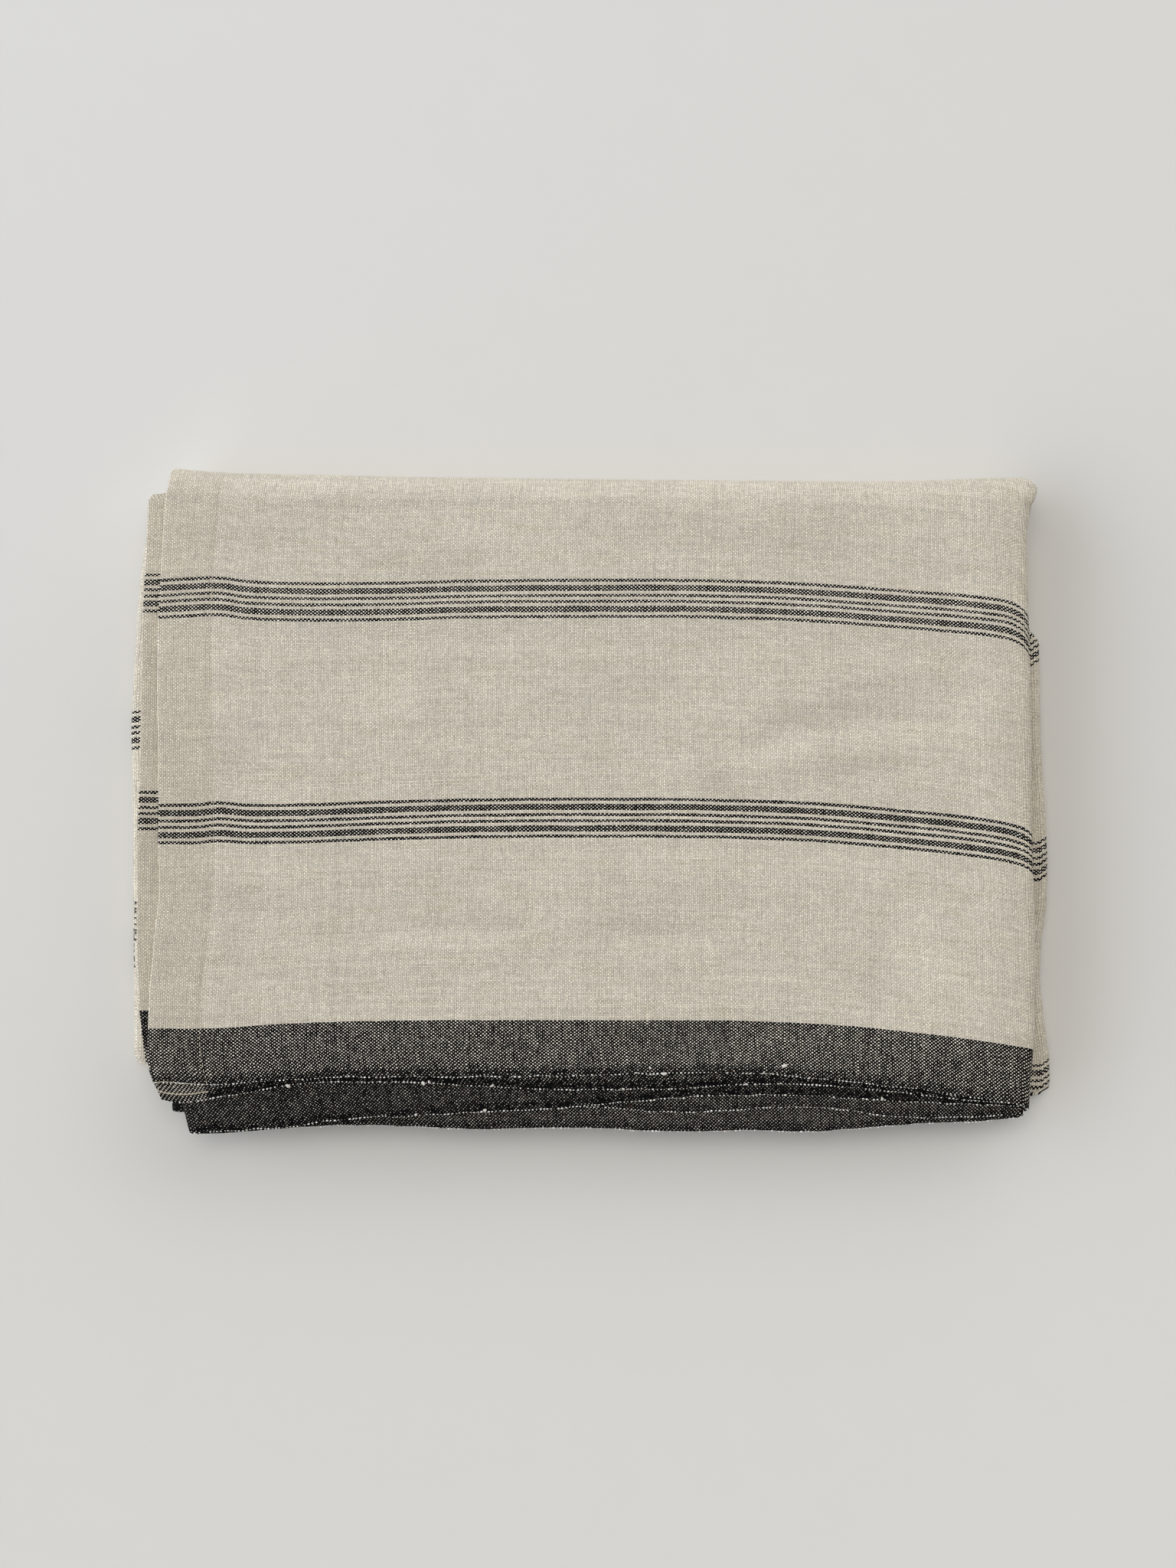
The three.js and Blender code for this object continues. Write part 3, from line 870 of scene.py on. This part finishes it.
class Linen(Nodes):
    """The cloth's material, yarn by yarn, from the place on the flat cloth in millimetres."""

    def __init__(self):
        super().__init__(bpy.data.materials.new("linen_cloth"))
        self.u, self.v = self.attribute("flat_u"), self.attribute("flat_v")
        self.find_zones()
        self.find_yarns()
        self.find_tones()
        self.find_heights()

    def patches(self, length, width, key=0.0, detail=1.0):
        """Noise in patches of about a length along the warp and a width across it."""
        return self.noise(self.vector(self.u * (1 / length), self.v * (1 / width), key), detail=detail)

    def find_zones(self):
        """Distance from the nearer selvedge, and 1 in the borders, the hems and the first hem's lip."""
        u, v = self.u, self.v
        self.from_edge = self.math("MINIMUM", v, CLOTH_WIDTH - v)
        self.in_border = self.math("LESS_THAN", self.from_edge, BORDER_YARNS * WARP_PITCH)
        self.second_border = self.ramp(v, CLOTH_WIDTH - 40, CLOTH_WIDTH - 33)
        self.in_hem = self.ramp(self.math("MINIMUM", u, CLOTH_LENGTH - u), 28.5, 32.0, 1.0, 0.0)
        # The inner half's hem, which the material darkens with painted shade
        self.shaded_inner_hem = self.in_hem * self.math("GREATER_THAN", v, CLOTH_WIDTH / 2)
        at_edge = self.ramp(v, CLOTH_WIDTH - 14, CLOTH_WIDTH - 10)
        self.hem_lip = self.ramp(u, 27.0, 29.0, 1.0, 0.0) * at_edge

    def group_offset(self, yarns):
        """Yarns from the middle of the nearest stripe group."""
        past = yarns + (GROUP_STEP / 2 - GROUP_START)
        return self.math("FLOORED_MODULO", past, GROUP_STEP) - GROUP_STEP / 2

    def dark_warp(self, yarn):
        """1 where a warp yarn belongs to the borders or to a stripe group."""
        from_edge = self.math("MINIMUM", yarn, WARP_YARNS - 1 - yarn)
        in_group = abs(self.group_offset(from_edge + 0.5))
        bands = sum(self.math("LESS_THAN", abs(in_group - middle), half) for middle, half in GROUP_BANDS)
        border = self.math("LESS_THAN", from_edge, BORDER_YARNS - 0.5)
        return border + bands * self.math("GREATER_THAN", from_edge, PLAIN_YARNS)

    def find_yarns(self):
        """Number of the warp and of the weft yarn, and how far the place lies from the middle of each."""
        # The yarns wander a little, in long bends and in short ones
        wander_v = (self.patches(26, 5) - 0.5) * 0.8 + (self.patches(7, 1.3, 4.0) - 0.5) * 0.55
        wander_u = (self.patches(5, 26, 7.0) - 0.5) * 0.9 + (self.patches(1.4, 7, 9.0) - 0.5) * 0.8
        # Yarns lie closer together in a stripe group
        yarns = self.v * (1 / WARP_PITCH)
        offset = self.group_offset(yarns)
        squeeze = offset * self.ramp(abs(offset), 13.0, 34.0, 0.045, 0.0)
        self.across = yarns + squeeze + wander_v * (1 / WARP_PITCH)
        self.along = (self.u + wander_u) * (1 / WEFT_PITCH)
        self.warp = self.math("FLOOR", self.across)
        self.weft = self.math("FLOOR", self.along)
        self.off_warp = self.across - self.warp - 0.5
        self.off_weft = self.along - self.weft - 0.5
        self.dark = self.dark_warp(self.warp)

    def find_tones(self):
        """Streaks along each yarn, and a tone of its own for each yarn and for each place where it shows."""
        self.warp_key = self.random(self.warp) * 97.0
        weft_key = self.random(self.weft + 0.5) * 89.0
        self.warp_streak = self.noise(self.vector(self.u * (1 / 22), self.warp_key), detail=2.0)
        self.weft_streak = self.noise(self.vector(self.v * (1 / 14), weft_key, 3.0), detail=3.0)
        self.warp_tone = self.random(self.warp + 0.3)
        self.weft_tone = self.random(self.weft + 0.7)
        self.cell_tone = self.random(self.warp * 3.17 + self.weft * 7.93)
        # Long uneven patches along the warp, with painted shade in the creases' troughs and a painted
        # highlight on their ridges
        self.mottle_and_crease_shade = (self.ramp(self.patches(13, 3.4, 13.0, 3.0), 0.3, 0.7, 0.955, 1.03)
                       * self.ramp(self.patches(60, 22, 17.0, 2.0), 0.3, 0.7, 0.97, 1.03)
                       * self.ramp(self.attribute("crease_for_shade"), -1.35, 1.35, 0.9, 1.08))

    def dark_cover(self):
        """How much more of the weft dark warp yarns cover. They lie close, above all at the selvedge."""
        crammed = self.ramp(self.from_edge, 1.5, 6.5, 1.0, 0.0) * self.ramp(self.u, 300.0, 440.0, 0.42, 0.3)
        first_group = self.ramp(self.from_edge, 190.0, 210.0, 0.3, 0.06)
        return (self.ramp(self.weft_streak, 0.3, 0.7, 0.99, 0.81)
                + self.between(self.in_border, first_group, 0.3) + self.second_border * 0.27
                + crammed - self.hem_lip * 0.75 + (self.cell_tone - 0.5) * 0.8)

    def wave(self, yarns, number):
        """Height of a yarn as it goes over and under its neighbours."""
        return self.math("COSINE", (yarns - 0.5 + number) * math.pi)

    def find_heights(self):
        """Which yarn lies on top at each place, and how high."""
        dark = self.dark
        warp_round = self.ramp(dark, 0.0, 1.0, 2.2, -2.6)
        weft_thin = self.ramp(self.weft_streak + self.weft_tone * 0.1, 0.42, 0.72, 4.2, 1.0)
        weft_round = self.between(self.ramp(dark, 0.0, 1.0, 0.3, 1.0), 2.5, weft_thin)
        warp_top = self.wave(self.along, self.warp) - self.off_warp * self.off_warp * warp_round
        weft_top = self.wave(self.across, self.weft) * -1.0 - self.off_weft * self.off_weft * weft_round
        bias = dark * self.dark_cover() + 0.05
        self.warp_shows = self.ramp(warp_top - weft_top + bias, -0.22, 0.22)
        self.height = self.math("MAXIMUM", warp_top + bias, weft_top)

    def beige(self):
        """Colour of the pale warp yarns, browner in long streaks and in the hems, with painted shade on the
        inner half's hem beside the top layer's edge.
        """
        streaks = self.warp_streak * 0.75 + self.patches(38, 9, 11.0, 3.0) * 0.35
        # The inner half's hem is browner still: painted shade where it lies beside the top layer's edge
        hems = self.in_hem * 0.42 + self.shaded_inner_hem * 0.2
        deep = self.math("MAXIMUM", self.ramp(streaks, 0.5, 0.78), hems)
        tone = 0.83 + self.warp_tone * 0.16 + self.cell_tone * 0.2
        return self.scaled(self.blend(deep, linear("warp"), linear("warp_deep")), self.mottle_and_crease_shade * tone)

    def black(self):
        """Colour of the dark warp yarns, rusty here and there."""
        rusty = self.noise(self.vector(self.u * (1 / 9), self.warp_key, 5.0))
        color = self.blend(self.ramp(rusty, 0.62, 0.75), linear("dark"), linear("rusty"))
        return self.scaled(color, self.ramp(self.warp_streak, 0.3, 0.8, 0.6, 2.4))

    def cream(self):
        """Colour of the weft, with painted shade where it crosses pale warp yarns, among which it stands
        lower.
        """
        tone = self.ramp(self.weft_streak, 0.3, 0.7, 0.69, 0.76)
        tone = tone + self.weft_tone * 0.1 + self.cell_tone * 0.26
        # Painted shade: the borders of the lower layers, which lie deeper in the folds, are darker, and so
        # is the inner half's border on the top panel
        lower_layer_shade = self.ramp(self.u, 485.0, 515.0, 1.0 - self.second_border * 0.2, 0.62)
        tone = tone * self.between(self.in_border, 1.0, lower_layer_shade) * self.ramp(self.dark, 0.0, 1.0, 0.95, 1.08)
        return self.scaled(linear("weft")[:3], tone * self.mottle_and_crease_shade)

    def shade(self):
        """Shade between the yarns, in their fuzz and on the hems."""
        deep = self.ramp(self.height, -0.9, 0.7, 0.4, 1.0)
        between_weft = self.ramp(abs(self.off_weft), 0.2, 0.5, 1.07, 0.8)
        between_warp = self.ramp(abs(self.off_warp), 0.25, 0.5, 1.02, 0.93)
        fuzz = self.ramp(self.patches(1 / 2.7, 1 / 2.7, 15.0), 0.28, 0.72, 0.7, 1.26)
        # The very end of the hem is a fold that catches the light
        end_fold = self.ramp(self.u, 0.5, 1.6, 1.04, 1.0)
        # Painted shade on the hems, more on the inner half's, fading out towards the back
        hem_dull = (self.in_hem + self.shaded_inner_hem) * self.ramp(self.from_edge, 220.0, 320.0, 1.0, 0.15)
        hems = self.ramp(hem_dull, 0.0, 2.0, 1.0, 0.9)
        return deep * between_weft * between_warp * fuzz * end_fold * hems

    def finished(self):
        warp_color = self.blend(self.dark, self.beige(), self.black())
        color = self.blend(self.warp_shows, self.cream(), warp_color)
        shade = self.shade()
        # Light between the yarns comes back warmer
        warm = self.make("VectorMath", {0: color, 1: (1.0, 0.945, 0.86)}, operation="MULTIPLY")
        color = self.blend(self.ramp(shade, 0.5, 1.0, 0.5, 0.0), color, warm)
        roughness = self.ramp(self.weft_streak, 0.2, 0.8, 0.95, 0.82)
        return self.finish(self.scaled(color, shade), roughness, 0.12, self.bump(self.height, 0.00018, 0.6))


def yarn_material(name, color):
    n = Nodes(bpy.data.materials.new(name))
    fine = n.noise(n.position(), scale=2600.0, detail=2.0)
    coarse = n.noise(n.position(), scale=160.0, detail=1.0)
    tint = fine * 0.24 + coarse * 0.12 + 0.82
    roughness = n.ramp(fine, 0.3, 0.7, 0.95, 0.8)
    return n.finish(n.scaled(linear(color)[:3], tint), roughness, 0.25, n.bump(fine, 0.0001, 0.5))


def floor_material():
    n = Nodes(bpy.data.materials.new("pale_floor"))
    grain = n.noise(n.position(), scale=30.0, detail=4.0)
    color = n.scaled(linear("floor")[:3], n.ramp(grain, 0.2, 0.8, 0.992, 1.0))
    return n.finish(color, n.ramp(grain, 0.2, 0.8, 0.7, 0.8), 0.2)


def make_floor():
    size = 4.0
    mesh = bpy.data.meshes.new("floor")
    corners = [(-size, -size, 0), (size, -size, 0), (size, size, 0), (-size, size, 0)]
    mesh.from_pydata(corners, [], [(0, 1, 2, 3)])
    add_piece(mesh, floor_material())


def make_room():
    """Soft light: a bright patch overhead and two broad low ones, at the left and at the back."""
    world = bpy.data.worlds.new("studio")
    n = Nodes(world)
    where = n.make("TexCoord", {}, "Generated")
    total = ROOM_DIM
    for light in ROOM_LIGHTS:
        towards = np.array(light["towards"]) / np.linalg.norm(light["towards"])
        facing = n.make("VectorMath", {0: where, 1: towards}, "Value", operation="DOT_PRODUCT")
        glow = n.scaled(light["color"], n.ramp(facing, light["edge"], 1.0, 0.0, light["strength"]))
        total = n.make("VectorMath", {0: total, 1: glow}, operation="ADD")
    n.put(n.tree.nodes["Background"].inputs["Color"], total)
    bpy.context.scene.world = world
    bpy.context.scene.view_settings.view_transform = "Standard"


def make_lamp():
    """A faint cool lamp at the back left, aimed at the floor behind the cloth."""
    lamp = bpy.data.lights.new("back_left", "AREA")
    lamp.shape = "DISK"
    lamp.size = 0.8
    lamp.energy = 1.2
    lamp.color = (0.58, 0.68, 1.0)
    holder = bpy.data.objects.new("back_left", lamp)
    holder.location = (-0.8, 1.0, 0.5)
    aim = Vector((-0.3, 0.45, 0)) - holder.location
    holder.rotation_euler = aim.to_track_quat("-Z", "Y").to_euler()
    bpy.context.scene.collection.objects.link(holder)


def make_camera():
    """Nearly straight down, leaning towards the front."""
    lean = math.radians(7.2)
    distance = 1.5
    target = np.array(TABLES_ORIGIN) * MM + (0, 0, TOP_Z * MM)
    data = bpy.data.cameras.new("camera")
    data.lens = 59.66
    data.sensor_width = 36
    data.clip_start = 0.05
    camera = bpy.data.objects.new("camera", data)
    camera.location = target + distance * np.array((0, -math.sin(lean), math.cos(lean)))
    camera.rotation_euler = (lean, 0, 0)
    bpy.context.scene.collection.objects.link(camera)
    bpy.context.scene.camera = camera


make_camera()
make_floor()
make_room()
make_lamp()

sheet = make_sheet(Linen().finished())
loops = make_selvedge_loops(yarn_material("weft_yarn", "weft_loop"))
stitches = make_hem_stitches(yarn_material("sewing_thread", "sewing_thread"))
knots = make_knots(yarn_material("loose_yarn", "knot"))
for piece in (sheet, loops, stitches, knots):
    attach(piece, "root")
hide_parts("tablecloth")
